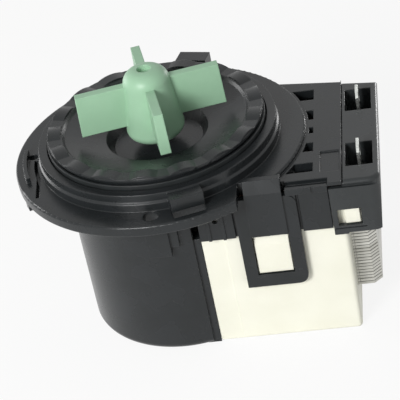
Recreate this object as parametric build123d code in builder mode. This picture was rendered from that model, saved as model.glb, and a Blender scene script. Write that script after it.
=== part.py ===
from build123d import *
from math import cos, radians, sin, sqrt
import os

os.makedirs("parts", exist_ok=True)

# Synchronous drain pump of a washing machine, standing on its back end.
# Lengths are in millimetres and angles in degrees. +Z is the rotor axis towards the
# impeller, +X points to the terminals, and z = 0 is the face of the mounting flange.

# Clearances shared by all pieces
face_gap = 0.3
slide_gap = 0.2
running_gap = 0.04
overrun = 3.0

# Mounting flange and spigot
flange_radius = 39.8
flange_thickness = 3.0
flange_edge_round = 0.5
flange_width = 7.3
spigot_wall = 2.4
spigot_height = 4.8
spigot_lip_round = 0.6
spigot_step = 0.5
spigot_step_height = 2.2
deck_depth = 1.0

# Bayonet lugs on the spigot and the screw holes beside it
lug_angles = (-73.0, 76.0)
lug_width = 8.8
lug_reach = 3.5
lug_heights = (4.4, 6.8)
lug_foot = 0.5
lug_slot_margin = 0.9
lug_slot_gap = 0.3
rib_angles = (84.0, 100.0)
rib_reach = 3.0
flange_hole_inset = 4.6
screw_hole_angle = -89.0
screw_hole_radius = 2.1
pin_hole_angle = -179.0
pin_hole_radius = 1.4

# Springing latch cut into the flange edge
latch_slot_inset = 5.6
latch_slot_width = 0.9
latch_slot_depth = 2.2
latch_angles = (-176.0, -160.0)
latch_end_inset = 2.2
latch_end_angle = -146.0
latch_rib_inset = 2.8
latch_rib_width = 1.1
latch_rib_height = 1.5
latch_rib_angles = (-182.0, -159.0)
latch_nub_width = 2.6
latch_nub_depth = 1.4
latch_nub_height = 3.0
latch_nub_angle = -155.0

# Rotor can, closed at its back end, and the pocket of the rear bush
can_bore = 14.2
can_wall = 1.1
can_end_wall = 1.4
can_floor_depth = 44.0
pocket_radius = 5.2
pocket_depth = 2.8
pocket_wall = 1.8

# Plate that joins the flange to the terminal housing
plate_top = -1.0
plate_thickness = 2.6
plate_overhang = 0.6
plate_edge_start_x = 33.8
plate_edge_inset = 1.0
plate_edge_slope = 0.153
plate_corner = 3.0
window_reach = 2.0
window_length = 11.8
window_arc_gap = 0.9
window_spans = ((14.3, 19.5), (4.0, 8.8), (-2.8, 0.2), (-11.6, -7.4), (-21.2, -17.0))
recess_low = (43.7, -22.0)
recess_size = (5.0, 9.8)
recess_depth = 0.4

# Skirt below the plate, its panels and the snap loops over the coil cover
skirt_wall = 1.4
skirt_bottom = -15.5
skirt_left = 10.3
skirt_rib = 0.8
skirt_rib_x = (13.0, 16.9)
skirt_hole_x = 15.0
skirt_hole_z = -9.6
skirt_hole_radius = 0.7
panel_groove_x = 41.5
panel_groove = 0.6
edge_groove = 1.3
edge_ridge = 3.2
panel_drop = 0.8
skirt_drop = 2.4
loop_left = 20.5
loop_width = 16.4
loop_bottom = -31.8
loop_band = 3.3
loop_foot = 3.8
loop_thickness = 1.8
loop_round = 2.6
loop_window_top = -15.1
loop_slot = 0.7
loop_slot_floor = 0.5
loop_panel = 0.7
loop_top = 1.4
loop_slope = 3.4
notch_left = 22.4
notch_right = 34.4
notch_margin = 1.0

# Coil cover, a cup that holds both coils from the back end
cover_left = 10.1
cover_right = 48.9
cover_half_width = 25.3
cover_wall = 1.6
pump_bottom = -50.5
cover_round = 1.2
cover_seam_x = 16.4
cover_seam_step = 0.3
boss_height = 1.5
boss_gap = 0.35
boss_ramp = 3.6
ear_right = 54.0
ear_top = -7.6
ear_bottom = -15.4
ear_boss_left = 48.9
ear_boss_right = 52.7

# Shroud round the rotor end of the stator
shroud_radius = 27.3
shroud_wall = 1.8
shroud_floor = 2.0
shroud_cut_x = 8.1
shroud_round = 2.2
shroud_step = 0.9
shroud_boss_width = 8.4
shroud_boss_reach = 1.9
shroud_boss_bottom = -17.6
shroud_boss_rib = 2.3
shroud_boss_angles = (-91.0, 91.0, 180.0)

# Stator laminations
sheet_thickness = 1.0
sheet_groove = 0.14
sheet_groove_depth = 0.15
sheet_count = 24
stack_top = -17.2
yoke_left = 49.5
yoke_right = 55.5
yoke_half_width_share = 0.72
yoke_chamfer = 2.2
arm_inner_share = 0.324
arm_width_share = 0.395
pole_outer_share = 0.83
pole_left = -13.0
pole_right = 15.8
pole_chamfer = 3.0

# Bobbins and windings
bobbin_left = 17.5
bobbin_right = 46.5
bobbin_wall = 0.9
bobbin_flange = 1.2
bobbin_flange_reach_share = 0.17
winding_build_share = 0.146
winding_round = 2.4
cutout_length = 12.0
cutout_height = 5.0
cutout_top = -20.0
cutout_lead_radius = 0.5
cutout_lead_length = 6.0

# Terminals and their housing
terminal_width = 6.3
terminal_thickness = 0.8
terminal_tip = 1.3
terminal_top = 2.6
terminal_x = 53.9
terminal_middle_y = -1.65
terminal_pitch_share = 1.063
terminal_hole_radius = 0.9
terminal_hole_drop = 3.4
socket_length = 7.1
socket_width = 10.9
socket_floor_z = -10.0
socket_floor = 1.2
socket_key = 1.3
housing_left = 49.3
housing_right = 59.2
housing_bottom = -17.0
housing_wall = 1.4
housing_front_block_inset = 2.4
housing_draft = 1.2
housing_front_corner = 3.2
housing_edge_round = 1.2
seam_width = 0.3
seam_depth = 0.6
tongue_left = 45.6
tongue_bottom = -17.4
tongue_groove_top = -1.9
tongue_groove = 1.1
tongue_window_x = (47.0, 53.2)
tongue_window_z = (-14.8, -9.7)
lip_right = 54.2
lip_height = 1.7
lip_line = 0.45

# Bearing carrier, the wavy-edged disc that closes the rotor can
carrier_gap = 1.4
carrier_lip = 0.7
carrier_lip_bottom = 6.8
carrier_plate = 2.0
ring_width = 3.9
ring_top = 7.6
ring_foot_z = 6.6
ring_foot_run = 0.7
wave_count = 17
wave_height = 0.7
wave_width_share = 0.78
wave_angle = 14.6
wave_end_gap = 0.15
well_radius = 14.0
well_rim_z = 3.5
well_wall = 1.6
well_slant = 1.9
well_floor_z = 0.5
well_floor = 1.6
neck_radius = 7.2
plug_wall = 2.4
plug_bottom = -8.5
ring_groove_depth = 1.5
ring_groove_width = 1.9
ring_groove_z = -6.4

# Seals
lip_seal_gap = 0.12
lip_seal_base_top = 2.4
lip_seal_top = 6.0
lip_seal_lip = 0.75
plug_ring_radius = 0.8

# Shaft, bushes and their rubber seats
shaft_radius = 1.6
shaft_top = 18.6
shaft_bottom = -46.3
shaft_chamfer = 0.3
bush_radius = 3.5
front_bush_top = -4.4
front_bush_length = 7.6
rear_bush_top = -41.6
rear_bush_length = 4.8
bush_chamfer = 0.3
washer_radius = 3.4
washer_thickness = 0.8
end_play = 0.2

# Rotor
magnet_radius = 13.5
magnet_bore = 8.0
magnet_top = -15.4
magnet_length = 26.0
magnet_chamfer = 0.8
core_flange = 0.6
core_lip_radius = 11.0
core_recess_radius = 6.6
core_boss_radius = 4.4

# Starting coupling between the shaft and the impeller
dog_radius = 4.6
dog_sleeve_radius = 2.5
dog_bottom = 7.4
dog_height = 5.2
dog_arc = 46.0
chamber_radius = 4.9
chamber_bottom = 6.9
chamber_height = 6.2
tooth_arc = 50.0
tooth_clearance = 0.12
tooth_angle = 180.0
pad_height = 4.4
pad_arc = 18.0
pad_inset = 0.3

# Impeller
impeller_turn = 14.2
blade_count = 4
blade_inset = 5.6
blade_top = 19.7
blade_height = 11.7
blade_root_thickness = 2.9
blade_tip_thickness = 2.5
hub_bottom = 3.3
hub_bottom_radius = 8.2
hub_crown_radius = 5.9
hub_top = 23.2
hub_foot_round = 2.4
hub_crown_round = 4.0
blade_end_lean = 0.4
dimple_radius = 1.9
dimple_depth = 1.5
cap_radius = 5.9
cap_thickness = 1.6
shaft_hole_depth = 0.6

# Levels and radii worked out from the driving sizes
spigot_radius = flange_radius - flange_width
spigot_bore = spigot_radius - spigot_wall
spigot_foot_radius = spigot_radius + spigot_step
flange_hole_circle = flange_radius - flange_hole_inset
latch_slot_radius = flange_radius - latch_slot_inset
latch_end_radius = flange_radius - latch_end_inset
latch_rib_radius = flange_radius - latch_rib_inset
window_right = flange_radius + window_reach
carrier_radius = spigot_bore - carrier_gap
ring_outer = carrier_radius + carrier_lip
ring_inner = ring_outer - ring_width
blade_radius = ring_inner - blade_inset
deck_top = -deck_depth
can_radius = can_bore + can_wall
can_floor = -can_floor_depth
can_floor_outer = can_floor - can_end_wall
can_end = pump_bottom + shroud_floor + face_gap
pocket_floor = can_floor - pocket_depth
plate_bottom = plate_top - plate_thickness
loop_face = cover_half_width + slide_gap
skirt_face = cover_half_width + slide_gap
plate_front = skirt_face + skirt_wall + plate_overhang
notch_depth = loop_face - notch_margin
plate_edge_start_y = cover_half_width - plate_edge_inset
plate_edge_end_y = plate_edge_start_y - plate_edge_slope * (housing_left - plate_edge_start_x)
housing_back = plate_edge_start_y - plate_edge_slope * (housing_right - plate_edge_start_x)
housing_front_block = cover_half_width - housing_front_block_inset
yoke_half_width = yoke_half_width_share * cover_half_width
arm_inner = arm_inner_share * cover_half_width
arm_width = arm_width_share * cover_half_width
pole_outer = pole_outer_share * cover_half_width
bobbin_flange_reach = bobbin_flange_reach_share * cover_half_width
winding_build = winding_build_share * cover_half_width
terminal_pitch = terminal_pitch_share * cover_half_width
stack_height = sheet_count * sheet_thickness
stack_bottom = stack_top - stack_height
stack_middle = stack_top - stack_height / 2
arm_middle = arm_inner + arm_width / 2
pole_bore = can_radius + face_gap
terminal_ys = (terminal_middle_y - terminal_pitch / 2, terminal_middle_y + terminal_pitch / 2)
bobbin_top = stack_top + bobbin_wall + bobbin_flange_reach
foot_bottom = bobbin_top
magnet_bottom = magnet_top - magnet_length
neck_bottom = front_bush_top - front_bush_length
rear_recess_z = rear_bush_top + end_play + washer_thickness
front_washer_bottom = neck_bottom - end_play - washer_thickness
block_bottom = socket_floor_z - socket_floor


# Front housing: flange, spigot, rotor can, plate, skirts and snap loops in one moulding
with BuildPart() as front_housing:
    # plate between the flange and the terminal housing
    with BuildSketch(Plane.XY.offset(plate_bottom)):
        with BuildLine():
            Polyline(
                (0, -plate_front),
                (housing_left, -plate_front),
                (housing_left, skirt_face + skirt_wall),
                (0, skirt_face + skirt_wall),
                close=True,
            )
        make_face()
        Circle(spigot_radius, mode=Mode.SUBTRACT)
    extrude(amount=plate_thickness)

    # bevel that falls away along the back edge of the plate
    bevel_run = plate_edge_start_y - plate_edge_end_y
    bevel_length = housing_left - plate_edge_start_x
    bevel_plane = Plane(
        origin=(plate_edge_start_x, plate_edge_start_y, plate_top),
        x_dir=(bevel_run, bevel_length, 0),
        z_dir=(bevel_length, -bevel_run, 0),
    )
    with BuildSketch(bevel_plane):
        with BuildLine():
            Polyline(
                (0, 0),
                (flange_radius, -flange_radius),
                (flange_radius, plate_thickness),
                (0, plate_thickness),
                close=True,
            )
        make_face()
    extrude(amount=bevel_length, both=True, mode=Mode.SUBTRACT)

    # flange, spigot and rotor can
    with BuildSketch(Plane.XZ) as housing_section:
        with BuildLine():
            Polyline(
                (0, can_end),
                (pocket_radius + pocket_wall, can_end),
                (pocket_radius + pocket_wall, can_floor_outer),
                (can_radius, can_floor_outer),
                (can_radius, -flange_thickness),
                (flange_radius, -flange_thickness),
                (flange_radius, 0),
                (spigot_foot_radius, 0),
                (spigot_foot_radius, spigot_step_height),
                (spigot_radius, spigot_step_height + spigot_step),
                (spigot_radius, spigot_height),
                (spigot_bore, spigot_height),
                (spigot_bore, deck_top),
                (can_bore, deck_top),
                (can_bore, can_floor),
                (pocket_radius, can_floor),
                (pocket_radius, pocket_floor),
                (0, pocket_floor),
                close=True,
            )
        make_face()
        rim_corners = housing_section.vertices().filter_by(
            lambda v: v.X > spigot_bore - face_gap and v.Z == spigot_height
        )
        fillet(rim_corners, radius=spigot_lip_round)
        edge_corners = housing_section.vertices().filter_by(lambda v: v.X == flange_radius)
        fillet(edge_corners, radius=flange_edge_round)
    revolve(axis=Axis.Z)

    # front and back skirts
    for side in (-1, 1):
        skirt_middle = side * (skirt_face + skirt_wall / 2)
        with BuildSketch(Plane.XY.offset(skirt_bottom)):
            with Locations(((skirt_left + housing_left) / 2, skirt_middle)):
                Rectangle(housing_left - skirt_left, skirt_wall)
        extrude(amount=-flange_thickness - skirt_bottom)

    # the back skirt is lower past the loop, below the bevelled edge
    loop_right = loop_left + loop_width
    with BuildSketch(Plane.XY.offset(-flange_thickness - skirt_drop)):
        with Locations((loop_right, skirt_face - slide_gap)):
            Rectangle(housing_left - loop_right, skirt_wall + overrun, align=(Align.MIN, Align.MIN))
    extrude(amount=skirt_drop + overrun, mode=Mode.SUBTRACT)

    # the skirt keeps clear of the tongue of the terminal housing
    with BuildSketch(Plane.XY.offset(skirt_bottom)):
        with Locations(((tongue_left + housing_left) / 2, -plate_front)):
            Rectangle(housing_left - tongue_left + 2 * slide_gap, 2 * edge_ridge)
    extrude(amount=tongue_groove_top - skirt_bottom, mode=Mode.SUBTRACT)

    # ribs and vent hole on the front skirt
    for rib_x in skirt_rib_x:
        with BuildSketch(Plane.XY.offset(skirt_bottom)):
            with Locations((rib_x, -skirt_face - skirt_wall)):
                Rectangle(skirt_rib, skirt_rib)
        extrude(amount=plate_bottom - skirt_bottom)
    with BuildSketch(Plane.XZ.offset(skirt_face - overrun)):
        with Locations((skirt_hole_x, skirt_hole_z)):
            Circle(skirt_hole_radius)
    extrude(amount=skirt_wall + 2 * overrun, mode=Mode.SUBTRACT)

    # notch in the flange, which leaves room for the snap loop's root
    notch_middle = (notch_left + notch_right) / 2
    with BuildSketch(Plane.XY.offset(plate_bottom)):
        with Locations((notch_middle, -notch_depth)):
            Rectangle(notch_right - notch_left, flange_radius, align=(Align.CENTER, Align.MAX))
    extrude(amount=plate_thickness + overrun, mode=Mode.SUBTRACT)

    # groove behind the skirt panels, and the line between the panels
    with BuildSketch(Plane.XY.offset(plate_top)):
        with Locations(((notch_right + tongue_left) / 2, -plate_front + skirt_wall + edge_groove / 2)):
            Rectangle(tongue_left - notch_right, edge_groove)
    extrude(amount=-edge_groove, mode=Mode.SUBTRACT)
    with BuildSketch(Plane.XY.offset(plate_top - panel_drop)):
        with Locations(((notch_right + tongue_left) / 2, -plate_front - overrun)):
            Rectangle(tongue_left - notch_right, skirt_wall + overrun, align=(Align.CENTER, Align.MIN))
    extrude(amount=panel_drop + overrun, mode=Mode.SUBTRACT)
    with BuildSketch(Plane.XY.offset(skirt_bottom)):
        with Locations((panel_groove_x, -plate_front)):
            Rectangle(panel_groove, panel_groove)
    extrude(amount=plate_top - skirt_bottom, mode=Mode.SUBTRACT)

    # core-out windows between the flange edge and the plate
    with BuildSketch(Plane.XY.offset(plate_bottom)):
        for low_y, high_y in window_spans:
            with Locations((window_right, low_y)):
                Rectangle(window_length, high_y - low_y, align=(Align.MAX, Align.MIN))
        Circle(flange_radius + window_arc_gap, mode=Mode.SUBTRACT)
    extrude(amount=plate_thickness, mode=Mode.SUBTRACT)

    # shallow square recess in the plate
    with BuildSketch(Plane.XY.offset(plate_top)):
        with Locations(recess_low):
            Rectangle(*recess_size, align=(Align.MIN, Align.MIN))
    extrude(amount=-recess_depth, mode=Mode.SUBTRACT)

    # snap loops on both long sides
    loop_middle = (loop_left + loop_right) / 2
    for side in (-1, 1):
        loop_plane = Plane(
            origin=(0, side * loop_face, 0),
            x_dir=(1, 0, 0),
            z_dir=(0, side, 0),
        )
        # deep grooves that set the loop off from the skirt
        with BuildSketch(loop_plane.offset(loop_slot_floor)):
            for slot_x in (loop_left - loop_slot / 2, loop_right + loop_slot / 2):
                with Locations((slot_x, -side * (plate_bottom + skirt_bottom) / 2)):
                    Rectangle(loop_slot, plate_bottom - skirt_bottom)
        extrude(amount=skirt_wall + overrun, mode=Mode.SUBTRACT)
        # the U-shaped band
        with BuildSketch(loop_plane) as loop_outline:
            with Locations((loop_middle, -side * (plate_bottom + loop_bottom) / 2)):
                Rectangle(loop_width, plate_bottom - loop_bottom)
            foot_corners = loop_outline.vertices().sort_by(Axis.Z)[:2]
            fillet(foot_corners, radius=loop_round)
            window_bottom = loop_bottom + loop_foot
            with Locations((loop_middle, -side * (loop_window_top + window_bottom) / 2)):
                Rectangle(loop_width - 2 * loop_band, loop_window_top - window_bottom, mode=Mode.SUBTRACT)
        extrude(amount=loop_thickness)

    # sloped root of the front loop, which shows in the notch
    with BuildSketch(Plane.YZ.offset(loop_left + loop_band)):
        with BuildLine():
            Polyline(
                (-loop_face - loop_thickness - loop_panel, loop_window_top),
                (-loop_face - loop_thickness - loop_panel, loop_top - loop_slope),
                (-loop_face - loop_thickness / 2, loop_top),
                (-notch_depth, loop_top),
                (-notch_depth, plate_bottom),
                (-loop_face, plate_bottom),
                (-loop_face, loop_window_top),
                close=True,
            )
        make_face()
    extrude(amount=loop_width - 2 * loop_band)

    # bayonet lugs over slots through the flange
    for lug_angle, lug_height in zip(lug_angles, lug_heights):
        lug_plane = Plane.XY.rotated((0, 0, lug_angle))
        with BuildSketch(lug_plane.offset(-flange_thickness)):
            with Locations((spigot_foot_radius + lug_slot_gap, 0)):
                Rectangle(lug_reach + lug_slot_margin, lug_width, align=(Align.MIN, Align.CENTER))
        extrude(amount=flange_thickness, mode=Mode.SUBTRACT)
        with BuildSketch(lug_plane):
            with Locations((spigot_radius, 0)):
                Rectangle(spigot_step + lug_slot_gap, lug_width, align=(Align.MIN, Align.CENTER))
        extrude(amount=lug_foot)
        with BuildSketch(lug_plane.offset(lug_foot)):
            with Locations((spigot_bore + spigot_wall / 2, 0)):
                Rectangle(lug_reach + spigot_wall / 2, lug_width, align=(Align.MIN, Align.CENTER))
        extrude(amount=lug_height - lug_foot)

    # stop rib beside the back lug
    rib_root = spigot_radius - spigot_wall / 2
    rib_width = spigot_radius + rib_reach - rib_root
    with BuildSketch(Plane.XY):
        with BuildLine():
            CenterArc((0, 0), rib_root + rib_width / 2, rib_angles[0], rib_angles[1] - rib_angles[0])
        trace(line_width=rib_width)
    extrude(amount=spigot_height - spigot_lip_round)

    # screw holes, latch slot and latch rib
    with BuildSketch(Plane.XY.offset(-flange_thickness)):
        with PolarLocations(flange_hole_circle, 1, start_angle=screw_hole_angle):
            Circle(screw_hole_radius)
        with PolarLocations(flange_hole_circle, 1, start_angle=pin_hole_angle):
            Circle(pin_hole_radius)
    extrude(amount=flange_thickness, mode=Mode.SUBTRACT)
    with BuildSketch(Plane.XY):
        with BuildLine():
            slot_arc = CenterArc(
                (0, 0), latch_slot_radius, latch_angles[0], latch_angles[1] - latch_angles[0]
            )
            Line(
                slot_arc @ 1,
                (
                    latch_end_radius * cos(radians(latch_end_angle)),
                    latch_end_radius * sin(radians(latch_end_angle)),
                ),
            )
        trace(line_width=latch_slot_width)
    extrude(amount=-latch_slot_depth, mode=Mode.SUBTRACT)
    with BuildSketch(Plane.XY):
        with BuildLine():
            CenterArc(
                (0, 0), latch_rib_radius, latch_rib_angles[0], latch_rib_angles[1] - latch_rib_angles[0]
            )
        trace(line_width=latch_rib_width)
    extrude(amount=latch_rib_height)
    nub_plane = Plane.XY.rotated((0, 0, latch_nub_angle))
    with BuildSketch(nub_plane.offset(-flange_thickness)):
        with Locations((flange_radius - flange_edge_round - latch_nub_depth, 0)):
            Rectangle(latch_nub_depth, latch_nub_width, align=(Align.MIN, Align.CENTER))
    extrude(amount=-latch_nub_height)
front_housing.part.label = "front_housing"
export_step(front_housing.part, "parts/front_housing.step")


# Terminal housing: sockets for the two tabs, and the tongue over the coil cover's ear
with BuildPart() as terminal_housing:
    with BuildSketch(Plane.XY.offset(plate_top)) as block_outline:
        with BuildLine():
            Polyline(
                (housing_left, -plate_front),
                (housing_right, -plate_front),
                (housing_right, housing_back),
                (housing_left, plate_edge_end_y),
                close=True,
            )
        make_face()
        outer_corners = block_outline.vertices().group_by(Axis.X)[-1].sort_by(Axis.Y)
        fillet(outer_corners[:1], radius=housing_front_corner)
        fillet(outer_corners[1:], radius=plate_corner)
    extrude(amount=housing_bottom - plate_top)

    top_edges = terminal_housing.faces().sort_by(Axis.Z)[-1].edges()
    rim_edges = top_edges.filter_by(lambda edge: (edge @ 0.5).X > housing_left + face_gap)
    fillet(rim_edges, radius=housing_edge_round)

    # seam along the plate
    with BuildSketch(Plane.XY.offset(plate_top)):
        with Locations((housing_left, -plate_front)):
            Rectangle(seam_width, plate_front + housing_back + overrun, align=(Align.MIN, Align.MIN))
    extrude(amount=-seam_depth, mode=Mode.SUBTRACT)

    # draft on the outer end, which leans in towards the bottom
    with BuildSketch(Plane.XZ.offset(-housing_back - overrun)):
        with BuildLine():
            Polyline(
                (housing_right, plate_top - housing_edge_round),
                (housing_right + overrun, plate_top - housing_edge_round),
                (housing_right + overrun, housing_bottom),
                (housing_right - housing_draft, housing_bottom),
                close=True,
            )
        make_face()
    extrude(amount=plate_front + housing_back + 2 * overrun, mode=Mode.SUBTRACT)

    # hollow underside, open towards the plate and the laminations
    hollow_front = -plate_front + skirt_wall
    hollow_back = housing_back - housing_wall
    hollow_right = housing_right - housing_draft - housing_wall
    with BuildSketch(Plane.XY.offset(housing_bottom)):
        with Locations((housing_left, hollow_front)):
            Rectangle(hollow_right - housing_left, hollow_back - hollow_front, align=(Align.MIN, Align.MIN))
    extrude(amount=block_bottom - housing_bottom, mode=Mode.SUBTRACT)

    # slot for the coil cover's ear, and the pocket between the sockets
    with BuildSketch(Plane.XY.offset(block_bottom)):
        with Locations((housing_left, hollow_front)):
            Rectangle(
                hollow_right - housing_left,
                -housing_front_block - hollow_front,
                align=(Align.MIN, Align.MIN),
            )
    extrude(amount=ear_top + slide_gap - block_bottom, mode=Mode.SUBTRACT)
    pocket_span = terminal_pitch - socket_width - 2 * housing_wall
    with BuildSketch(Plane.XY.offset(block_bottom)):
        with Locations((housing_left + housing_wall, terminal_middle_y)):
            Rectangle(
                hollow_right - housing_left - housing_wall, pocket_span, align=(Align.MIN, Align.CENTER)
            )
    extrude(amount=plate_bottom - block_bottom, mode=Mode.SUBTRACT)

    # sockets with a keying rib, and the slots that the tabs come through
    for socket_y in terminal_ys:
        with BuildSketch(Plane.XY.offset(plate_top)):
            with Locations((terminal_x, socket_y)):
                Rectangle(socket_length, socket_width)
        extrude(amount=socket_floor_z - plate_top, mode=Mode.SUBTRACT)
        with BuildSketch(Plane.XY.offset(block_bottom)):
            with Locations((terminal_x, socket_y)):
                Rectangle(terminal_thickness + 2 * slide_gap, terminal_width + 2 * slide_gap)
        extrude(amount=socket_floor, mode=Mode.SUBTRACT)
    key_x = terminal_x + socket_length / 2
    key_y = terminal_ys[0] - socket_width / 2
    with BuildSketch(Plane.XY.offset(socket_floor_z)):
        with Locations((key_x, key_y)):
            Rectangle(socket_key, socket_key, align=(Align.MAX, Align.MIN))
    extrude(amount=plate_top - socket_key - socket_floor_z)

    # tongue beyond the block's left side
    with BuildSketch(Plane.XZ.offset(plate_front - skirt_wall)):
        with Locations((tongue_left, tongue_bottom)):
            Rectangle(
                housing_left - tongue_left,
                tongue_groove_top - tongue_groove - tongue_bottom,
                align=(Align.MIN, Align.MIN),
            )
    extrude(amount=skirt_wall)
    # groove under the plate's edge, the window of the tongue and the line above its bottom lip
    with BuildSketch(Plane.XZ.offset(plate_front - lip_line)):
        with Locations((tongue_left, tongue_bottom + lip_height)):
            Rectangle(lip_right - tongue_left, lip_line, align=(Align.MIN, Align.MIN))
    extrude(amount=lip_line, mode=Mode.SUBTRACT)
    with BuildSketch(Plane.XZ.offset(plate_front - tongue_groove + face_gap)):
        with Locations((tongue_left, tongue_groove_top - tongue_groove)):
            Rectangle(housing_right - tongue_left + overrun, tongue_groove, align=(Align.MIN, Align.MIN))
    extrude(amount=tongue_groove + overrun, mode=Mode.SUBTRACT)
    with BuildSketch(Plane.XZ.offset(plate_front - skirt_wall - face_gap)):
        with Locations((tongue_window_x[0], tongue_window_z[0])):
            Rectangle(
                tongue_window_x[1] - tongue_window_x[0],
                tongue_window_z[1] - tongue_window_z[0],
                align=(Align.MIN, Align.MIN),
            )
    extrude(amount=skirt_wall + overrun, mode=Mode.SUBTRACT)
terminal_housing.part.label = "terminal_housing"
export_step(terminal_housing.part, "parts/terminal_housing.step")


# Coil cover: a cup with snap bosses, an ear under the tongue and open slots for the arms
with BuildPart() as coil_cover:
    cover_length = cover_right - cover_left
    cover_top = ear_top
    with BuildSketch(Plane.XY.offset(pump_bottom)):
        with Locations((cover_left, 0)):
            Rectangle(cover_length, 2 * cover_half_width, align=(Align.MIN, Align.CENTER))
    extrude(amount=cover_top - pump_bottom)
    outer_edges = coil_cover.edges().filter_by(Axis.Z).group_by(Axis.X)[-1]
    fillet(outer_edges, radius=cover_round)
    fillet(coil_cover.faces().sort_by(Axis.Z)[0].edges(), radius=cover_round)
    with BuildSketch(Plane.XY.offset(pump_bottom + cover_wall)):
        with Locations((cover_left + cover_wall, 0)):
            Rectangle(
                cover_length - 2 * cover_wall,
                2 * (cover_half_width - cover_wall),
                align=(Align.MIN, Align.CENTER),
            )
    extrude(amount=cover_top - pump_bottom, mode=Mode.SUBTRACT)
    # clearance round the rotor can
    with BuildSketch(Plane.XY.offset(pump_bottom + cover_wall)):
        Circle(can_radius + face_gap)
    extrude(amount=cover_top - pump_bottom, mode=Mode.SUBTRACT)
    # open slots for the pole pieces on the left and the arms on the right
    slot_floor = stack_bottom - face_gap
    with BuildSketch(Plane.XY.offset(slot_floor)):
        with Locations((cover_left, 0)):
            Rectangle(2 * (cover_wall + face_gap), 2 * (pole_outer + face_gap))
        with Locations((cover_right, arm_middle), (cover_right, -arm_middle)):
            Rectangle(2 * (cover_wall + face_gap), arm_width + 2 * face_gap)
    extrude(amount=cover_top - slot_floor + overrun, mode=Mode.SUBTRACT)
    # shallow step along the left end of both long faces
    for side in (-1, 1):
        with BuildSketch(Plane.XY.offset(pump_bottom)):
            with Locations((cover_left, side * cover_half_width)):
                Rectangle(2 * (cover_seam_x - cover_left), 2 * cover_seam_step)
        extrude(amount=cover_top - pump_bottom, mode=Mode.SUBTRACT)
    # snap bosses: a ramp that starts flush at the top and ends in a square shoulder
    boss_bottom = loop_bottom + loop_foot + boss_gap
    boss_left = loop_left + loop_band + boss_gap
    boss_width = loop_width - 2 * loop_band - 2 * boss_gap
    for side in (-1, 1):
        with BuildSketch(Plane.YZ.offset(boss_left)):
            with BuildLine():
                Polyline(
                    (side * (cover_half_width - cover_wall / 2), loop_window_top),
                    (side * cover_half_width, loop_window_top),
                    (side * (cover_half_width + boss_height), loop_window_top - boss_ramp),
                    (side * (cover_half_width + boss_height), boss_bottom),
                    (side * (cover_half_width - cover_wall / 2), boss_bottom),
                    close=True,
                )
            make_face()
        extrude(amount=boss_width)
    # ear under the tongue of the terminal housing, with its own boss
    with BuildSketch(Plane.XZ.offset(cover_half_width - cover_wall)):
        with Locations((cover_right - cover_round - cover_wall, ear_bottom)):
            Rectangle(
                ear_right - cover_right + cover_round + cover_wall,
                ear_top - ear_bottom,
                align=(Align.MIN, Align.MIN),
            )
    extrude(amount=cover_wall)
    with BuildSketch(Plane.XZ.offset(cover_half_width - cover_wall / 2)):
        with Locations((ear_boss_left, tongue_window_z[0] + boss_gap)):
            Rectangle(
                ear_boss_right - ear_boss_left,
                tongue_window_z[1] - tongue_window_z[0] - 2 * boss_gap,
                align=(Align.MIN, Align.MIN),
            )
    extrude(amount=cover_wall / 2 + boss_height)
coil_cover.part.label = "coil_cover"
export_step(coil_cover.part, "parts/coil_cover.step")


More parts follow.
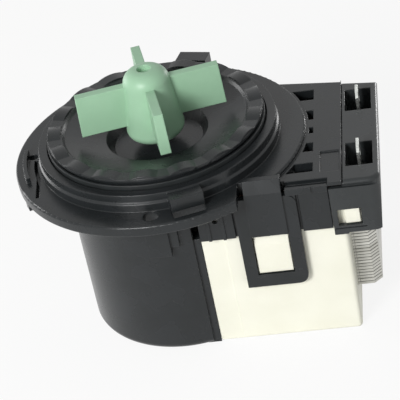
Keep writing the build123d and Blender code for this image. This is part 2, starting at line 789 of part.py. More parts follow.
# Shroud: a D-shaped cup round the pole pieces and the rotor can
with BuildPart() as rear_shroud:
    shroud_top = -flange_thickness
    with BuildSketch(Plane.XY.offset(pump_bottom)):
        Circle(shroud_radius)
        with Locations((shroud_cut_x, 0)):
            Rectangle(
                2 * shroud_radius, 2 * shroud_radius, align=(Align.MIN, Align.CENTER), mode=Mode.SUBTRACT
            )
    extrude(amount=shroud_top - pump_bottom)
    fillet(rear_shroud.faces().sort_by(Axis.Z)[0].edges().filter_by(GeomType.CIRCLE), radius=shroud_round)
    # step that carries the flat end wall
    end_wall_right = cover_left - slide_gap / 2
    with BuildSketch(Plane.XY.offset(pump_bottom)):
        with Locations((shroud_cut_x - shroud_wall, 0)):
            Rectangle(
                end_wall_right - shroud_cut_x + shroud_wall,
                2 * (sqrt(shroud_radius**2 - shroud_cut_x**2) - shroud_step),
                align=(Align.MIN, Align.CENTER),
            )
    extrude(amount=skirt_bottom - face_gap - pump_bottom)
    # inside
    with BuildSketch(Plane.XY.offset(pump_bottom + shroud_floor)):
        Circle(shroud_radius - shroud_wall)
        with Locations((shroud_cut_x, 0)):
            Rectangle(
                2 * shroud_radius, 2 * shroud_radius, align=(Align.MIN, Align.CENTER), mode=Mode.SUBTRACT
            )
    extrude(amount=shroud_top - pump_bottom, mode=Mode.SUBTRACT)
    # clearance round the rotor can and the pole pieces
    with BuildSketch(Plane.XY.offset(pump_bottom + shroud_floor)):
        Circle(can_radius + face_gap)
    extrude(amount=shroud_top - pump_bottom, mode=Mode.SUBTRACT)
    with BuildSketch(Plane.XY.offset(stack_bottom - face_gap)):
        with Locations((shroud_cut_x, 0)):
            Rectangle(2 * (end_wall_right - shroud_cut_x + overrun), 2 * (pole_outer + face_gap))
    extrude(amount=shroud_top - stack_bottom + overrun, mode=Mode.SUBTRACT)
    # snap bosses under the flange: a body and a shorter rib beside it
    for boss_angle in shroud_boss_angles:
        boss_plane = Plane.XY.rotated((0, 0, boss_angle))
        boss_inner = shroud_radius - shroud_wall / 2
        with BuildSketch(boss_plane.offset(shroud_boss_bottom)):
            with Locations((boss_inner, 0)):
                Rectangle(
                    shroud_wall / 2 + shroud_boss_reach,
                    shroud_boss_width - shroud_boss_rib,
                    align=(Align.MIN, Align.CENTER),
                )
        extrude(amount=shroud_top - shroud_boss_bottom)
        with BuildSketch(boss_plane.offset(shroud_boss_bottom + shroud_boss_rib)):
            with Locations((boss_inner, (shroud_boss_width - shroud_boss_rib) / 2)):
                Rectangle(
                    shroud_wall / 2 + shroud_boss_reach / 2, shroud_boss_rib, align=(Align.MIN, Align.MIN)
                )
        extrude(amount=shroud_top - shroud_boss_bottom - shroud_boss_rib)
rear_shroud.part.label = "rear_shroud"
export_step(rear_shroud.part, "parts/rear_shroud.step")


# Yoke: stacked sheets with a fine groove between neighbours
with BuildPart() as yoke_stack:
    for sheet in range(sheet_count):
        sheet_bottom = stack_bottom + sheet * sheet_thickness
        for level, inset, height in (
            (sheet_bottom, 0, sheet_thickness - sheet_groove),
            (sheet_bottom + sheet_thickness - sheet_groove, sheet_groove_depth, sheet_groove),
        ):
            with BuildSketch(Plane.XY.offset(level)) as sheet_outline:
                with Locations((yoke_left, 0)):
                    Rectangle(
                        yoke_right - inset - yoke_left,
                        2 * (yoke_half_width - inset),
                        align=(Align.MIN, Align.CENTER),
                    )
                end_corners = sheet_outline.vertices().group_by(Axis.X)[-1]
                chamfer(end_corners, length=yoke_chamfer)
            extrude(amount=height)
yoke_stack.part.label = "yoke_stack"
export_step(yoke_stack.part, "parts/yoke_stack.step")


# Two pole arms, one each side of the rotor, and what sits on them
for side, place in ((-1, "front"), (1, "rear")):
    with BuildPart() as pole_arm:
        with BuildSketch(Plane.XY.offset(stack_bottom)) as arm_outline:
            with Locations((pole_left, side * arm_middle)):
                Rectangle(yoke_left - pole_left, arm_width, align=(Align.MIN, Align.CENTER))
            with Locations(((pole_left + pole_right) / 2, side * (arm_inner + pole_outer) / 2)):
                Rectangle(pole_right - pole_left, pole_outer - arm_inner)
            tip_corners = arm_outline.vertices().group_by(Axis.X)[0].sort_by(lambda v: abs(v.Y))[-1:]
            chamfer(tip_corners, length=pole_chamfer)
            Circle(pole_bore, mode=Mode.SUBTRACT)
        extrude(amount=stack_height)
    pole_arm.part.label = f"pole_arm_{place}"
    export_step(pole_arm.part, f"parts/pole_arm_{place}.step")

    tube_width = arm_width + 2 * (slide_gap + bobbin_wall)
    tube_height = stack_height + 2 * (slide_gap + bobbin_wall)
    coil_center = (side * arm_middle, stack_middle)
    with BuildPart() as bobbin:
        with BuildSketch(Plane.YZ.offset(bobbin_left)):
            with Locations(coil_center):
                Rectangle(tube_width, tube_height)
        extrude(amount=bobbin_right - bobbin_left)
        for flange_x in (bobbin_left, bobbin_right - bobbin_flange):
            with BuildSketch(Plane.YZ.offset(flange_x)):
                with Locations(coil_center):
                    Rectangle(
                        arm_width + 2 * (bobbin_wall + bobbin_flange_reach),
                        stack_height + 2 * (bobbin_wall + bobbin_flange_reach),
                    )
            extrude(amount=bobbin_flange)
        with BuildSketch(Plane.YZ.offset(bobbin_left)):
            with Locations(coil_center):
                Rectangle(arm_width + 2 * slide_gap, stack_height + 2 * slide_gap)
        extrude(amount=bobbin_right - bobbin_left, mode=Mode.SUBTRACT)
    bobbin.part.label = f"bobbin_{place}"
    export_step(bobbin.part, f"parts/bobbin_{place}.step")

    with BuildPart() as winding:
        with BuildSketch(Plane.YZ.offset(bobbin_left + bobbin_flange)) as winding_outline:
            with Locations(coil_center):
                Rectangle(tube_width + 2 * winding_build, tube_height + 2 * winding_build)
            fillet(winding_outline.vertices(), radius=winding_round)
            with Locations(coil_center):
                Rectangle(tube_width, tube_height, mode=Mode.SUBTRACT)
        extrude(amount=bobbin_right - bobbin_left - 2 * bobbin_flange)
    winding.part.label = f"winding_{place}"
    export_step(winding.part, f"parts/winding_{place}.step")

    with BuildPart() as terminal:
        tab_y = terminal_middle_y + side * terminal_pitch / 2
        with BuildSketch(Plane.YZ.offset(terminal_x - terminal_thickness / 2)) as tab_outline:
            with Locations((tab_y, foot_bottom)):
                Rectangle(terminal_width, terminal_top - foot_bottom, align=(Align.CENTER, Align.MIN))
            tip_points = tab_outline.vertices().group_by(Axis.Z)[-1]
            chamfer(tip_points, length=terminal_tip)
            with Locations((tab_y, terminal_top - terminal_hole_drop)):
                Circle(terminal_hole_radius, mode=Mode.SUBTRACT)
        extrude(amount=terminal_thickness)
        with BuildSketch(Plane.XY.offset(foot_bottom)):
            with Locations((bobbin_right - bobbin_flange, tab_y)):
                Rectangle(
                    terminal_x - bobbin_right + bobbin_flange,
                    terminal_width,
                    align=(Align.MIN, Align.CENTER),
                )
        extrude(amount=terminal_thickness)
    terminal.part.label = f"terminal_{place}"
    export_step(terminal.part, f"parts/terminal_{place}.step")


# Thermal cut-out between the two windings, with its two leads
with BuildPart() as thermal_cutout:
    cutout_middle = (bobbin_left + bobbin_right) / 2
    gap_between = 2 * (arm_inner - slide_gap - bobbin_wall - winding_build - face_gap)
    with BuildSketch(Plane.XY.offset(cutout_top - cutout_height)):
        with Locations((cutout_middle, 0)):
            Rectangle(cutout_length, gap_between)
    extrude(amount=cutout_height)
    fillet(thermal_cutout.edges().filter_by(Axis.Z), radius=cutout_lead_radius)
    for end in (-1, 1):
        with BuildSketch(Plane.YZ.offset(cutout_middle + end * cutout_length / 2)):
            with Locations((0, cutout_top - cutout_height / 2)):
                Circle(cutout_lead_radius)
        extrude(amount=end * cutout_lead_length)
thermal_cutout.part.label = "thermal_cutout"
export_step(thermal_cutout.part, "parts/thermal_cutout.step")


# Bearing carrier: disc with a well for the impeller hub, a plug for the can and a bush neck
with BuildPart() as bearing_carrier:
    plug_radius = can_bore - slide_gap
    well_under = well_floor_z - well_floor
    with BuildSketch(Plane.XZ):
        with BuildLine():
            Polyline(
                (shaft_radius + slide_gap, well_floor_z),
                (well_radius - well_slant, well_floor_z),
                (well_radius, well_rim_z),
                (ring_inner - ring_foot_run, ring_foot_z),
                (ring_inner, ring_top),
                (ring_outer, ring_top),
                (ring_outer, carrier_lip_bottom),
                (carrier_radius, carrier_lip_bottom),
                (carrier_radius, deck_top),
                (carrier_radius - well_wall, deck_top),
                (carrier_radius - well_wall, ring_top - carrier_plate),
                (ring_inner, ring_top - carrier_plate),
                (well_radius + well_wall, well_rim_z - carrier_plate),
                (well_radius + well_wall, deck_top),
                (plug_radius, deck_top),
                (plug_radius, ring_groove_z + ring_groove_width / 2),
                (plug_radius - ring_groove_depth, ring_groove_z + ring_groove_width / 2),
                (plug_radius - ring_groove_depth, ring_groove_z - ring_groove_width / 2),
                (plug_radius, ring_groove_z - ring_groove_width / 2),
                (plug_radius, plug_bottom),
                (plug_radius - plug_wall, plug_bottom),
                (plug_radius - plug_wall, well_under),
                (neck_radius, well_under),
                (neck_radius, neck_bottom),
                (pocket_radius, neck_bottom),
                (pocket_radius, front_bush_top),
                (shaft_radius + slide_gap, front_bush_top),
                close=True,
            )
        make_face()
    revolve(axis=Axis.Z)
    # low round waves across the ring
    wave_width = wave_width_share * 2 * ring_inner * sin(radians(180.0 / wave_count))
    wave_radius = ((wave_width / 2) ** 2 + wave_height**2) / (2 * wave_height)
    for wave in range(wave_count):
        turn = wave_angle + 360.0 * wave / wave_count
        wave_plane = Plane(
            origin=(ring_inner * cos(radians(turn)), ring_inner * sin(radians(turn)), ring_top),
            x_dir=(-sin(radians(turn)), cos(radians(turn)), 0),
            z_dir=(cos(radians(turn)), sin(radians(turn)), 0),
        )
        with BuildSketch(wave_plane.offset(wave_end_gap)):
            with Locations((0, wave_height - wave_radius)):
                Circle(wave_radius)
            with Locations((0, -wave_end_gap)):
                Rectangle(
                    wave_width,
                    wave_height + wave_end_gap,
                    align=(Align.CENTER, Align.MIN),
                    mode=Mode.INTERSECT,
                )
        extrude(amount=ring_width - 2 * wave_end_gap)
bearing_carrier.part.label = "bearing_carrier"
export_step(bearing_carrier.part, "parts/bearing_carrier.step")


# Chamber seal: a rubber ring with a thin lip in the groove round the carrier
with BuildPart() as chamber_seal:
    seal_inner = carrier_radius + lip_seal_gap
    seal_outer = spigot_bore - lip_seal_gap
    seal_middle = (seal_inner + seal_outer) / 2
    with BuildSketch(Plane.XZ):
        with BuildLine():
            Polyline(
                (seal_inner, deck_top),
                (seal_outer, deck_top),
                (seal_outer, lip_seal_base_top),
                (seal_middle + lip_seal_lip / 2, lip_seal_base_top),
                (seal_middle + lip_seal_lip / 2, lip_seal_top),
                (seal_middle - lip_seal_lip / 2, lip_seal_top),
                (seal_middle - lip_seal_lip / 2, lip_seal_base_top),
                (seal_inner, lip_seal_base_top),
                close=True,
            )
        make_face()
    revolve(axis=Axis.Z)
chamber_seal.part.label = "chamber_seal"
export_step(chamber_seal.part, "parts/chamber_seal.step")


# O-ring in the groove of the carrier's plug
with BuildPart() as can_seal:
    with BuildSketch(Plane.XZ):
        with Locations(((plug_radius - ring_groove_depth + can_bore) / 2, ring_groove_z)):
            Circle(plug_ring_radius)
    revolve(axis=Axis.Z)
can_seal.part.label = "can_seal"
export_step(can_seal.part, "parts/can_seal.step")


# Sleeve bushes and their rubber seats
for place, bush_top, bush_length, seat_bottom, seat_top in (
    ("front", front_bush_top, front_bush_length, neck_bottom, front_bush_top),
    ("rear", rear_bush_top, rear_bush_length, pocket_floor, rear_bush_top - washer_thickness),
):
    with BuildPart() as bush:
        with BuildSketch(Plane.XY.offset(bush_top - bush_length)):
            Circle(bush_radius)
            Circle(shaft_radius + running_gap, mode=Mode.SUBTRACT)
        extrude(amount=bush_length)
        rims = bush.edges().filter_by(GeomType.CIRCLE).filter_by(lambda rim: rim.radius == bush_radius)
        chamfer(rims, length=bush_chamfer)
    bush.part.label = f"{place}_bush"
    export_step(bush.part, f"parts/{place}_bush.step")
    with BuildPart() as bush_seat:
        with BuildSketch(Plane.XY.offset(seat_bottom)):
            Circle(pocket_radius)
            Circle(bush_radius, mode=Mode.SUBTRACT)
        extrude(amount=seat_top - seat_bottom)
    bush_seat.part.label = f"{place}_bush_seat"
    export_step(bush_seat.part, f"parts/{place}_bush_seat.step")


# Rotor: magnet, plastic core, shaft and thrust washers
with BuildPart() as rotor_magnet:
    with BuildSketch(Plane.XY.offset(magnet_bottom)):
        Circle(magnet_radius)
        Circle(magnet_bore, mode=Mode.SUBTRACT)
    extrude(amount=magnet_length)
    outer_rims = rotor_magnet.edges().filter_by(GeomType.CIRCLE).sort_by(SortBy.RADIUS)[-2:]
    chamfer(outer_rims, length=magnet_chamfer)
rotor_magnet.part.label = "rotor_magnet"
export_step(rotor_magnet.part, "parts/rotor_magnet.step")

with BuildPart() as rotor_core:
    with BuildSketch(Plane.XZ):
        with BuildLine():
            Polyline(
                (shaft_radius, front_washer_bottom),
                (core_boss_radius, front_washer_bottom),
                (core_boss_radius, magnet_top + core_flange),
                (core_lip_radius, magnet_top + core_flange),
                (core_lip_radius, magnet_top),
                (magnet_bore, magnet_top),
                (magnet_bore, magnet_bottom),
                (core_lip_radius, magnet_bottom),
                (core_lip_radius, magnet_bottom - core_flange),
                (core_recess_radius, magnet_bottom - core_flange),
                (core_recess_radius, rear_recess_z),
                (shaft_radius, rear_recess_z),
                close=True,
            )
        make_face()
    revolve(axis=Axis.Z)
rotor_core.part.label = "rotor_core"
export_step(rotor_core.part, "parts/rotor_core.step")

with BuildPart() as rotor_shaft:
    with BuildSketch(Plane.XY.offset(shaft_bottom)):
        Circle(shaft_radius)
    extrude(amount=shaft_top - shaft_bottom)
    chamfer(rotor_shaft.edges().filter_by(GeomType.CIRCLE), length=shaft_chamfer)
rotor_shaft.part.label = "rotor_shaft"
export_step(rotor_shaft.part, "parts/rotor_shaft.step")

for place, washer_bottom in (
    ("front", front_washer_bottom),
    ("rear", rear_recess_z - washer_thickness),
):
    with BuildPart() as thrust_washer:
        with BuildSketch(Plane.XY.offset(washer_bottom)):
            Circle(washer_radius)
            Circle(shaft_radius, mode=Mode.SUBTRACT)
        extrude(amount=washer_thickness)
    thrust_washer.part.label = f"thrust_washer_{place}"
    export_step(thrust_washer.part, f"parts/thrust_washer_{place}.step")


# Drive dog on the shaft, which swings between the cushioned flanks of the impeller's tooth
with BuildPart() as drive_dog:
    with BuildSketch(Plane.XY.offset(dog_bottom)):
        with BuildLine():
            dog_rim = CenterArc((0, 0), dog_radius, -dog_arc / 2, dog_arc)
            Line((0, 0), dog_rim @ 0)
            Line((0, 0), dog_rim @ 1)
        make_face()
        Circle(dog_sleeve_radius)
        Circle(shaft_radius, mode=Mode.SUBTRACT)
    extrude(amount=dog_height)
drive_dog.part.label = "drive_dog"
export_step(drive_dog.part, "parts/drive_dog.step")


# Impeller: domed hub with four drafted blades and the coupling chamber inside
with BuildPart() as impeller:
    hub_bore = shaft_radius + running_gap
    with BuildSketch(Plane.XZ) as hub_section:
        with BuildLine():
            Polyline(
                (0, hub_bottom),
                (hub_bottom_radius, hub_bottom),
                (hub_crown_radius, hub_top),
                (0, hub_top),
                close=True,
            )
        make_face()
        foot_corner = hub_section.vertices().filter_by(lambda v: v.X == hub_bottom_radius)
        fillet(foot_corner, radius=hub_foot_round)
        crown_corner = hub_section.vertices().filter_by(lambda v: v.X == hub_crown_radius)
        fillet(crown_corner, radius=hub_crown_round)
    revolve(axis=Axis.Z)

    # blades, thinner and shorter at the top as they leave the mould
    blade_bottom = blade_top - blade_height
    for index in range(blade_count):
        blade_turn = impeller_turn + index * 360 / blade_count
        blade_plane = Plane.XY.rotated((0, 0, blade_turn))
        with BuildSketch(blade_plane.offset(blade_bottom)):
            Rectangle(blade_radius, blade_root_thickness, align=(Align.MIN, Align.CENTER))
        with BuildSketch(blade_plane.offset(blade_top)):
            Rectangle(blade_radius - blade_end_lean, blade_tip_thickness, align=(Align.MIN, Align.CENTER))
        loft()

    # dimple, shaft bore, coupling chamber and the seat of its cap
    with BuildSketch(Plane.XY.offset(hub_top)):
        Circle(dimple_radius)
    extrude(amount=-dimple_depth, mode=Mode.SUBTRACT)
    with BuildSketch(Plane.XY.offset(chamber_bottom)):
        Circle(hub_bore)
    extrude(amount=shaft_top + shaft_hole_depth - chamber_bottom, mode=Mode.SUBTRACT)
    with BuildSketch(Plane.XY.offset(chamber_bottom)):
        Circle(chamber_radius)
    extrude(amount=chamber_height, mode=Mode.SUBTRACT)
    with BuildSketch(Plane.XY.offset(hub_bottom)):
        Circle(cap_radius)
    extrude(amount=chamber_bottom - hub_bottom, mode=Mode.SUBTRACT)

    # driving tooth on the chamber wall
    tooth_bore = dog_sleeve_radius + tooth_clearance
    with BuildSketch(Plane.XY.offset(chamber_bottom)):
        with BuildLine():
            tooth_inner = CenterArc((0, 0), tooth_bore, tooth_angle - tooth_arc / 2, tooth_arc)
            tooth_outer = CenterArc((0, 0), chamber_radius, tooth_angle - tooth_arc / 2, tooth_arc)
            Line(tooth_inner @ 0, tooth_outer @ 0)
            Line(tooth_inner @ 1, tooth_outer @ 1)
        make_face()
    extrude(amount=chamber_height)
impeller.part.label = "impeller"
export_step(impeller.part, "parts/impeller.step")

with BuildPart() as impeller_cap:
    with BuildSketch(Plane.XY.offset(chamber_bottom - cap_thickness)):
        Circle(cap_radius)
        Circle(hub_bore, mode=Mode.SUBTRACT)
    extrude(amount=cap_thickness)
impeller_cap.part.label = "impeller_cap"
export_step(impeller_cap.part, "parts/impeller_cap.step")

# Rubber pads that cushion the two flanks of the tooth
pad_inner = tooth_bore + pad_inset
pad_outer = chamber_radius - pad_inset
for place, pad_start in (
    ("left", tooth_angle + tooth_arc / 2),
    ("right", tooth_angle - tooth_arc / 2 - pad_arc),
):
    with BuildPart() as drive_pad:
        with BuildSketch(Plane.XY.offset(dog_bottom)):
            with BuildLine():
                pad_rim = CenterArc((0, 0), pad_outer, pad_start, pad_arc)
                pad_foot = CenterArc((0, 0), pad_inner, pad_start, pad_arc)
                Line(pad_rim @ 0, pad_foot @ 0)
                Line(pad_rim @ 1, pad_foot @ 1)
            make_face()
        extrude(amount=pad_height)
    drive_pad.part.label = f"drive_pad_{place}"
    export_step(drive_pad.part, f"parts/drive_pad_{place}.step")
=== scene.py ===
import bpy
from math import cos, radians, sin, tau
from mathutils import Matrix, Vector

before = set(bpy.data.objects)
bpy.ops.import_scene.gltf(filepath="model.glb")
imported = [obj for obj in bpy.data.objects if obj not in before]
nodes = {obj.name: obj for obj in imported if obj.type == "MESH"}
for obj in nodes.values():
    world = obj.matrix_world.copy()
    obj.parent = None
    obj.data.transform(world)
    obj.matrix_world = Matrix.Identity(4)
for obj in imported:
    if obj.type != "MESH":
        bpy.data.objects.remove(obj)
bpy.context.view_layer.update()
scene = bpy.context.scene
mm = 0.001
noiseSpan = {"low": 0.3, "high": 0.7}  # most of a noise field lies between these
noiseDetail = {"cloud": 3.0, "grain": 2.0, "streak": 4.0}
waveTurn = tau / 20  # scale at which a wave texture has one turn to a metre
mixSocket = {"share": 0, "dark": 6, "light": 7, "colour": 2}  # the colour sockets of a Mix node


# sRGB hex value as the linear colour that a socket takes
def linearColour(hexText):
    channels = [int(hexText[i:i + 2], 16) / 255 for i in (1, 3, 5)]
    linear = [c / 12.92 if c <= 0.04045 else ((c + 0.055) / 1.055) ** 2.4 for c in channels]
    return linear + [1.0]


def addNode(tree, kind, inputs=None, **settings):
    node = tree.nodes.new(kind)
    for name, value in settings.items():
        setattr(node, name, value)
    for name, value in (inputs or {}).items():
        if isinstance(value, bpy.types.NodeSocket):
            tree.links.new(value, node.inputs[name])
        else:
            node.inputs[name].default_value = value
    return node


def newMaterial(name):
    material = bpy.data.materials.new(name)
    material.use_nodes = True
    tree = material.node_tree
    tree.nodes.clear()
    shader = addNode(tree, "ShaderNodeBsdfPrincipled")
    addNode(tree, "ShaderNodeOutputMaterial", {"Surface": shader.outputs["BSDF"]})
    return material, tree, shader


# colour that goes from the dark to the light tone of a finish
def twoTone(tree, factor, look, span=noiseSpan):
    share = addNode(tree, "ShaderNodeMapRange", {
        "Value": factor, "From Min": span["low"], "From Max": span["high"]})
    tone = addNode(tree, "ShaderNodeMix", {
        mixSocket["share"]: share.outputs["Result"],
        mixSocket["dark"]: linearColour(look["dark"]),
        mixSocket["light"]: linearColour(look["light"])}, data_type="RGBA")
    return tone.outputs[mixSocket["colour"]]


# gloss that goes up and down with the clouds or streaks of the colour
def unevenGloss(tree, shader, factor, look):
    gloss = addNode(tree, "ShaderNodeMapRange", {
        "Value": factor, "From Min": noiseSpan["low"], "From Max": noiseSpan["high"],
        "To Min": look["roughness"] - look["roughnessSpread"],
        "To Max": look["roughness"] + look["roughnessSpread"]})
    tree.links.new(gloss.outputs["Result"], shader.inputs["Roughness"])


# the small round that a mould leaves, so that corners catch a thin line of light
cornerLook = {"radiusMm": 0.4, "samples": 6}


def mouldedPlastic(name, look):
    material, tree, shader = newMaterial(name)
    place = addNode(tree, "ShaderNodeTexCoord").outputs["Object"]
    cloud = addNode(tree, "ShaderNodeTexNoise", {
        "Vector": place, "Scale": 1 / (look["cloudMm"] * mm), "Detail": noiseDetail["cloud"]})
    tree.links.new(twoTone(tree, cloud.outputs["Fac"], look), shader.inputs["Base Color"])
    unevenGloss(tree, shader, cloud.outputs["Fac"], look)
    corner = addNode(tree, "ShaderNodeBevel", {"Radius": cornerLook["radiusMm"] * mm},
                     samples=cornerLook["samples"])
    grain = addNode(tree, "ShaderNodeTexNoise", {
        "Vector": place, "Scale": 1 / (look["grainMm"] * mm), "Detail": noiseDetail["grain"]})
    surface = addNode(tree, "ShaderNodeBump", {
        "Normal": corner.outputs["Normal"], "Height": grain.outputs["Fac"],
        "Strength": look["grainStrength"], "Distance": look["grainDepthMm"] * mm})
    tree.links.new(surface.outputs["Normal"], shader.inputs["Normal"])
    shader.inputs["Specular IOR Level"].default_value = look["specular"]
    return material


# noise drawn out by the finish's stretch, as rolling, stamping or grinding leaves it
def streaks(tree, place, look):
    stretched = addNode(tree, "ShaderNodeMapping", {"Vector": place, "Scale": look["stretch"]})
    noise = addNode(tree, "ShaderNodeTexNoise", {
        "Vector": stretched.outputs["Vector"], "Scale": 1 / (look["streakMm"] * mm),
        "Detail": noiseDetail["streak"]})
    return noise.outputs["Fac"]


def streakedMetal(name, look):
    material, tree, shader = newMaterial(name)
    place = addNode(tree, "ShaderNodeTexCoord").outputs["Object"]
    streak = streaks(tree, place, look)
    tree.links.new(twoTone(tree, streak, look), shader.inputs["Base Color"])
    unevenGloss(tree, shader, streak, look)
    shader.inputs["Metallic"].default_value = look["metallic"]
    return material


def stackedSheets(name, look):
    material, tree, shader = newMaterial(name)
    place = addNode(tree, "ShaderNodeTexCoord").outputs["Object"]
    stack = addNode(tree, "ShaderNodeTexWave", {
        "Vector": place, "Scale": waveTurn / (look["sheetMm"] * mm),
        "Phase Offset": -tau * look["gapAtMm"] / look["sheetMm"]},
        wave_type="BANDS", bands_direction="Z")
    besideGap = addNode(tree, "ShaderNodeMapRange", {
        "Value": stack.outputs["Fac"], "From Max": look["gapWidth"]})
    sheets = addNode(tree, "ShaderNodeMix", {
        mixSocket["share"]: besideGap.outputs["Result"],
        mixSocket["dark"]: linearColour(look["gap"]),
        mixSocket["light"]: twoTone(tree, streaks(tree, place, look), look)}, data_type="RGBA")
    tree.links.new(sheets.outputs[mixSocket["colour"]], shader.inputs["Base Color"])
    shader.inputs["Roughness"].default_value = look["roughness"]
    shader.inputs["Metallic"].default_value = look["metallic"]
    return material


def woundCopper(name, look):
    material, tree, shader = newMaterial(name)
    place = addNode(tree, "ShaderNodeTexCoord").outputs["Object"]
    wave = addNode(tree, "ShaderNodeTexWave", {
        "Vector": place, "Scale": waveTurn / (look["turnMm"] * mm), "Distortion": look["wander"],
        "Detail": look["wanderDetail"], "Detail Scale": look["wanderScale"]},
        wave_type="BANDS", bands_direction="X")
    turns = wave.outputs["Fac"]
    # the light tone of each turn band is a painted highlight along the round wire
    tree.links.new(twoTone(tree, turns, look, look["turnSpan"]), shader.inputs["Base Color"])
    rounds = addNode(tree, "ShaderNodeBump", {
        "Height": turns, "Strength": look["roundStrength"], "Distance": look["turnMm"] / 2 * mm})
    tree.links.new(rounds.outputs["Normal"], shader.inputs["Normal"])
    shader.inputs["Roughness"].default_value = look["roughness"]
    shader.inputs["Metallic"].default_value = look["metallic"]
    return material


# glass filled polyamide, moulded: near black, a soft sheen lifts the flat tops to dark grey
blackLook = {"dark": "#1F2223", "light": "#25282A", "cloudMm": 9,
             "grainMm": 0.22, "grainStrength": 0.2, "grainDepthMm": 0.03,
             "roughness": 0.27, "roughnessSpread": 0.03, "specular": 0.38}
# the terminal block comes from another tool in the same plastic: one shade paler
terminalLook = {"dark": "#2D3031", "light": "#333637", "cloudMm": 8,
                "grainMm": 0.22, "grainStrength": 0.2, "grainDepthMm": 0.03,
                "roughness": 0.27, "roughnessSpread": 0.03, "specular": 0.38}
# cream polyester, moulded: even and satin, with broad dull highlights
creamLook = {"dark": "#EFEEDE", "light": "#F5F4E6", "cloudMm": 12,
             "grainMm": 0.3, "grainStrength": 0.12, "grainDepthMm": 0.02,
             "roughness": 0.45, "roughnessSpread": 0.04, "specular": 0.45}
# green acetal, moulded: pale mint, slightly waxy, a small bright spot where it curves
greenLook = {"dark": "#9DC5A5", "light": "#A4CCAC", "cloudMm": 7,
             "grainMm": 0.25, "grainStrength": 0.1, "grainDepthMm": 0.02,
             "roughness": 0.4, "roughnessSpread": 0.04, "specular": 0.45}
# uncoloured polyamide, moulded: milky off-white and dull
whiteLook = {"dark": "#DAD9D2", "light": "#E6E5DF", "cloudMm": 10,
             "grainMm": 0.3, "grainStrength": 0.12, "grainDepthMm": 0.02,
             "roughness": 0.45, "roughnessSpread": 0.05, "specular": 0.45}
# phenolic, moulded: dull brown black
cutoutLook = {"dark": "#2E2A26", "light": "#3A352F", "cloudMm": 4,
              "grainMm": 0.3, "grainStrength": 0.15, "grainDepthMm": 0.02,
              "roughness": 0.5, "roughnessSpread": 0.05, "specular": 0.4}
# nitrile rubber, moulded: matt black with wide, weak highlights
rubberLook = {"dark": "#1A1D1E", "light": "#222627", "cloudMm": 5,
              "grainMm": 0.2, "grainStrength": 0.3, "grainDepthMm": 0.03,
              "roughness": 0.5, "roughnessSpread": 0.05, "specular": 0.45}
# carbon, pressed and sized: dark warm grey with a dull gleam
bushLook = {"dark": "#3A3835", "light": "#4A4743", "cloudMm": 3,
            "grainMm": 0.15, "grainStrength": 0.2, "grainDepthMm": 0.02,
            "roughness": 0.4, "roughnessSpread": 0.06, "specular": 0.5}
# ferrite, sintered and ground: charcoal, patchy between dull and smooth
ferriteLook = {"dark": "#26272A", "light": "#303236", "cloudMm": 6,
               "grainMm": 0.12, "grainStrength": 0.25, "grainDepthMm": 0.02,
               "roughness": 0.48, "roughnessSpread": 0.08, "specular": 0.5}
# lamination steel, stamped and stacked: silver edges that differ a little, a dark line
# between sheets, drawn as coarse as the solid's grooves, the real sheets are half as thick
laminationLook = {"dark": "#B4B3AB", "light": "#E2E1DA", "gap": "#6F6E67",
                  "stretch": (0.12, 0.12, 3), "streakMm": 3,
                  "sheetMm": 1.0, "gapAtMm": 0.73, "gapWidth": 0.22,
                  "roughness": 0.4, "metallic": 0.6}
# brass strip, stamped and tinned: bright silver with soft streaks across the strip
brassLook = {"dark": "#C9CCC8", "light": "#E4E7E2", "stretch": (1, 1, 3), "streakMm": 2,
             "roughness": 0.3, "roughnessSpread": 0.08, "metallic": 0.9}
# stainless steel, ground: bright, with fine marks round the shaft
shaftLook = {"dark": "#A9ABAD", "light": "#C9CBCD", "stretch": (1, 1, 8), "streakMm": 4,
             "roughness": 0.22, "roughnessSpread": 0.06, "metallic": 1.0}
# enamelled copper wire, wound: warm dark brown, with a painted highlight, a lighter line on each
# turn
# the turns are drawn coarser than the real 0.2 mm
windingLook = {"dark": "#35180D", "light": "#6B3A1E", "turnMm": 0.5,
               "turnSpan": {"low": 0.1, "high": 0.8}, "roundStrength": 0.8,
               "wander": 0.4, "wanderDetail": 1.0, "wanderScale": 0.05,
               "roughness": 0.32, "metallic": 0.6}

finishes = {
    "blackPlastic": mouldedPlastic("glass filled black polyamide", blackLook),
    "terminalPlastic": mouldedPlastic("glass filled terminal polyamide", terminalLook),
    "creamPlastic": mouldedPlastic("cream polyester", creamLook),
    "greenPlastic": mouldedPlastic("green acetal", greenLook),
    "whitePlastic": mouldedPlastic("natural white polyamide", whiteLook),
    "cutoutPlastic": mouldedPlastic("phenolic cutout case", cutoutLook),
    "rubber": mouldedPlastic("black nitrile rubber", rubberLook),
    "bush": mouldedPlastic("carbon sleeve bearing", bushLook),
    "ferrite": mouldedPlastic("sintered ferrite", ferriteLook),
    "lamination": stackedSheets("stacked lamination steel", laminationLook),
    "tinnedBrass": streakedMetal("tinned brass", brassLook),
    "shaftSteel": streakedMetal("ground stainless steel", shaftLook),
    "winding": woundCopper("enamelled copper winding", windingLook)}

nodesOfFinish = {
    "blackPlastic": ("front_housing", "rear_shroud", "bearing_carrier"),
    "terminalPlastic": ("terminal_housing",),
    "creamPlastic": ("coil_cover",),
    "greenPlastic": ("impeller", "impeller_cap"),
    "whitePlastic": ("drive_dog", "bobbin_front", "bobbin_rear", "rotor_core",
                     "thrust_washer_front", "thrust_washer_rear"),
    "cutoutPlastic": ("thermal_cutout",),
    "rubber": ("chamber_seal", "can_seal", "front_bush_seat", "rear_bush_seat",
               "drive_pad_left", "drive_pad_right"),
    "bush": ("front_bush", "rear_bush"),
    "ferrite": ("rotor_magnet",),
    "lamination": ("yoke_stack", "pole_arm_front", "pole_arm_rear"),
    "tinnedBrass": ("terminal_front", "terminal_rear"),
    "shaftSteel": ("rotor_shaft",),
    "winding": ("winding_front", "winding_rear")}
for finish, names in nodesOfFinish.items():
    for name in names:
        nodes[name].data.materials.clear()
        nodes[name].data.materials.append(finishes[finish])
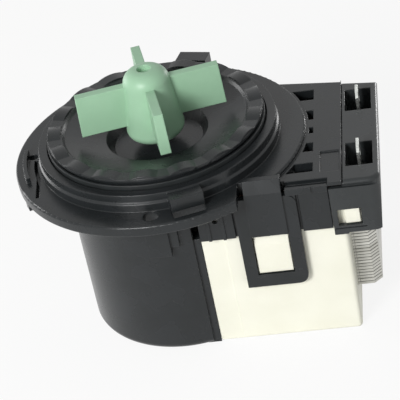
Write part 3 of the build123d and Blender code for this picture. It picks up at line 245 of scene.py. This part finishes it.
finished = sum(len(names) for names in nodesOfFinish.values())
print("finishes on", finished, "of", len(nodes), "nodes")

# softly broken edges on every piece of the pump
edgeLook = {"weldMm": 0.005, "flatAngle": 1, "widthMm": 0.22, "segments": 2, "sharpAngle": 38}
for node in nodes.values():
    weld = node.modifiers.new("joinedCorners", "WELD")
    weld.merge_threshold = edgeLook["weldMm"] * mm
    flat = node.modifiers.new("flatFaces", "DECIMATE")
    flat.decimate_type = "DISSOLVE"
    flat.angle_limit = radians(edgeLook["flatAngle"])
    bevel = node.modifiers.new("softEdges", "BEVEL")
    bevel.width = edgeLook["widthMm"] * mm
    bevel.segments = edgeLook["segments"]
    bevel.limit_method = "ANGLE"
    bevel.angle_limit = radians(edgeLook["sharpAngle"])
    bevel.harden_normals = True
    normals = node.modifiers.new("evenNormals", "WEIGHTED_NORMAL")
    normals.keep_sharp = True
print("edges broken by", edgeLook["widthMm"], "mm")


# one value for rays that show the background, straight, in gloss or through glass,
# and another for all other rays
def byRay(tree, seen, unseen):
    rays = addNode(tree, "ShaderNodeLightPath")
    shown = rays.outputs["Is Camera Ray"]
    for kind in ("Is Glossy Ray", "Is Transmission Ray"):
        either = addNode(tree, "ShaderNodeMath", {0: shown, 1: rays.outputs[kind]},
                         operation="MAXIMUM")
        shown = either.outputs["Value"]
    value = addNode(tree, "ShaderNodeMapRange", {
        "Value": shown, "To Min": unseen, "To Max": seen})
    return value.outputs["Result"]


# studio paper, white where it is seen and with the pump's own shadow kept
floorLook = {"widthM": 3.0, "topMm": -50.5, "colour": "#F4F4F2", "roughness": 0.9,
             "whiteSeen": 0.87, "whiteUnseen": 0.0}
floorMaterial, floorTree, floorShader = newMaterial("white studio paper")
floorShader.inputs["Base Color"].default_value = linearColour(floorLook["colour"])
floorShader.inputs["Roughness"].default_value = floorLook["roughness"]
whiteShare = byRay(floorTree, floorLook["whiteSeen"], floorLook["whiteUnseen"])
white = addNode(floorTree, "ShaderNodeEmission")
# socket 0 takes the share of white, 1 the shaded paper and 2 the white
paper = addNode(floorTree, "ShaderNodeMixShader", {
    0: whiteShare, 1: floorShader.outputs["BSDF"], 2: white.outputs["Emission"]})
floorOutput = floorTree.nodes["Material Output"]
floorTree.links.new(paper.outputs["Shader"], floorOutput.inputs["Surface"])
floorPlace = (0, 0, floorLook["topMm"] * mm)
bpy.ops.mesh.primitive_plane_add(size=floorLook["widthM"], location=floorPlace)
floor = bpy.context.object
floor.name = "studio_floor"
floor.data.materials.append(floorMaterial)

# world, white where it is seen and softer where it lights
worldLook = {"seen": 1.0, "lighting": 0.36}
world = bpy.data.worlds.new("white studio")
scene.world = world
world.use_nodes = True
worldTree = world.node_tree
worldTree.nodes.clear()
worldStrength = byRay(worldTree, worldLook["seen"], worldLook["lighting"])
sky = addNode(worldTree, "ShaderNodeBackground", {"Strength": worldStrength})
addNode(worldTree, "ShaderNodeOutputWorld", {"Surface": sky.outputs["Background"]})

# soft square lamps, all turned towards the middle of the pump
lampLook = {
    "keyLeft": {"from": (-235, -540, 330), "sizeMm": 210, "watts": 3.58},
    "topBack": {"from": (120, 520, 380), "sizeMm": 420, "watts": 0.1},
    "rightEdge": {"from": (360, 510, 8), "sizeMm": 110, "watts": 0.5},
    "leftEdge": {"from": (-500, 290, 10), "sizeMm": 320, "watts": 1.2}}
for name, lamp in lampLook.items():
    light = bpy.data.lights.new(name, "AREA")
    light.energy = lamp["watts"]
    light.size = lamp["sizeMm"] * mm
    holder = bpy.data.objects.new(name, light)
    scene.collection.objects.link(holder)
    holder.location = Vector(lamp["from"]) * mm
    holder.rotation_euler = (-holder.location).to_track_quat("-Z", "Y").to_euler()
print("studio lit with", len(lampLook), "lamps")

# camera at the photograph's angle
cameraLook = {"azimuth": 10.19, "elevation": 33.44, "roll": -11.93, "distanceMm": 464.29,
              "aimMm": (13.02, -30.27, 0), "lensMm": 163.1, "sensorMm": 36, "nearestMm": 10}
azimuth = radians(cameraLook["azimuth"])
elevation = radians(cameraLook["elevation"])
roll = radians(cameraLook["roll"])
backward = Vector((
    sin(azimuth) * cos(elevation), -cos(azimuth) * cos(elevation), sin(elevation)))
level = Vector((cos(azimuth), sin(azimuth), 0))
upward = backward.cross(level)
across = level * cos(roll) + upward * sin(roll)
upright = upward * cos(roll) - level * sin(roll)
eye = (Vector(cameraLook["aimMm"]) + backward * cameraLook["distanceMm"]) * mm
camera = bpy.data.objects.new("photoCamera", bpy.data.cameras.new("photoCamera"))
camera.data.sensor_width = cameraLook["sensorMm"]
camera.data.lens = cameraLook["lensMm"]
camera.data.clip_start = cameraLook["nearestMm"] * mm
camera.matrix_world = Matrix((
    (across.x, upright.x, backward.x, eye.x),
    (across.y, upright.y, backward.y, eye.y),
    (across.z, upright.z, backward.z, eye.z),
    (0, 0, 0, 1)))
scene.collection.objects.link(camera)
scene.camera = camera
scene.view_settings.view_transform = "Standard"
print("camera placed")
